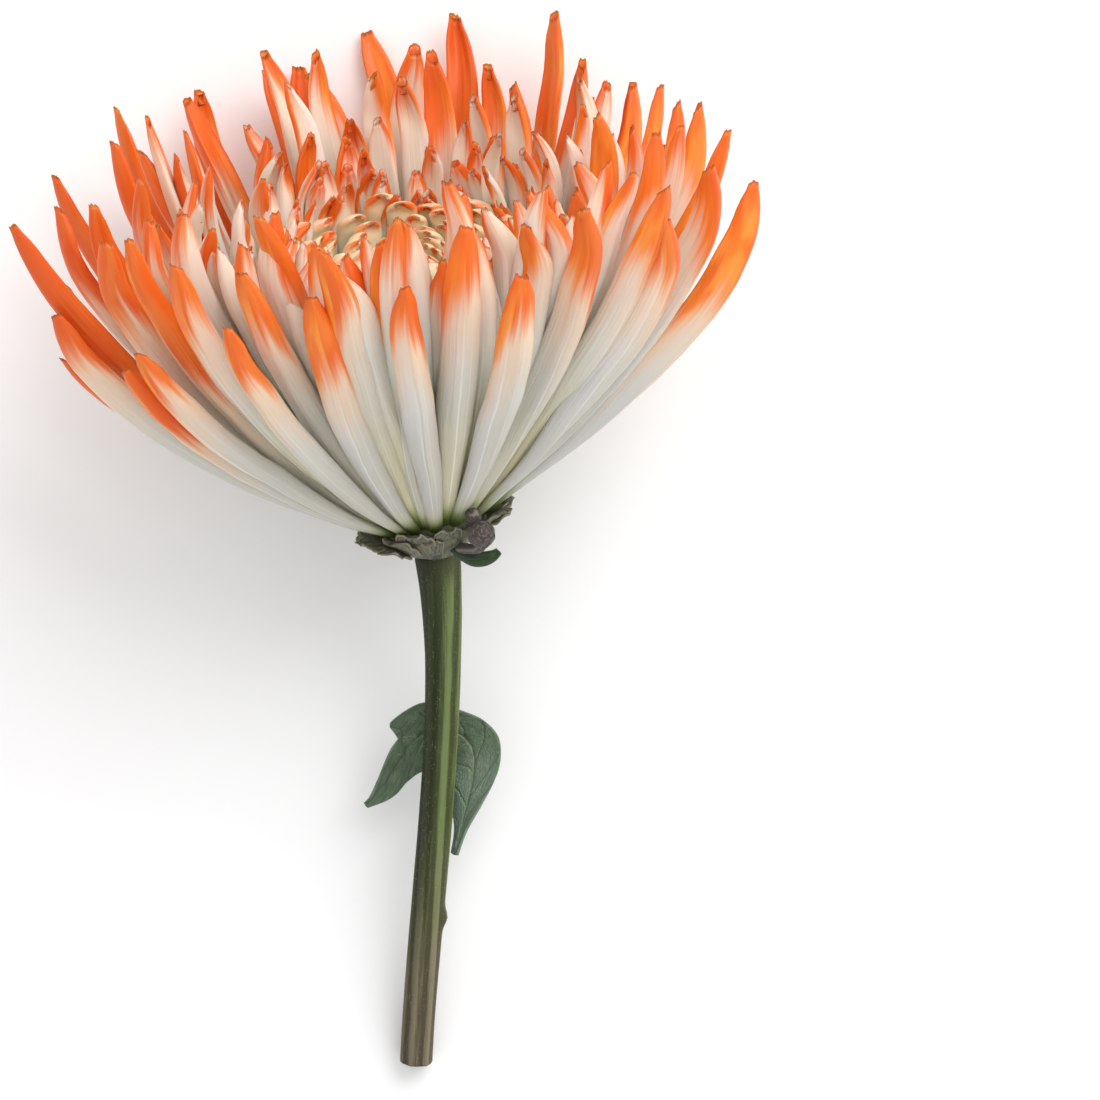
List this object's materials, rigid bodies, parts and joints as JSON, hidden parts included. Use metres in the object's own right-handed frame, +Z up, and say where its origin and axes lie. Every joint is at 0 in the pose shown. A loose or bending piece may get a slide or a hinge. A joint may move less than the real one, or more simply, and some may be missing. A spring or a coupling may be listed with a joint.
{
  "type": "spider chrysanthemum",
  "caption": "Cut spider chrysanthemum lying on its side: a wide bloom of long tubular white florets with orange tips, on a ribbed green stem with a lobed leaf and a side bud.",
  "frame": {"origin": "centre of the box round the whole flower, on the plane of the table that it lies on", "axes": "+Z up from the table, +Y along the flower from the cut end of the stem to the bloom, +X to the right as seen from above with the bloom away from the viewer"},
  "size_m": [0.1236, 0.1784, 0.089],
  "materials": {
    "petal_white": "soft matt white florets that turn orange in streaks towards their tips, yellow-green at their roots",
    "petal_cream": "soft matt greenish cream florets with orange patches at their tips",
    "bract_green": "matt olive green bracts with paler brown edges",
    "stem_green": "matt ribbed green, browner towards the cut end, with short pale fuzz",
    "leaf_green": "dark bluish green with a soft sheen and pale veins",
    "bud_brown": "matt purple-brown scales with pale edges",
    "bud_bract_green": "dark green with a soft sheen"
  },
  "bodies": {
    "root": {"ray_florets": "petal_white", "heart_florets": "petal_cream", "involucre": "bract_green", "stem": "stem_green", "leaf": "leaf_green", "side_bud": "bud_brown", "bud_bract": "bud_bract_green"}
  },
  "joints": []
}
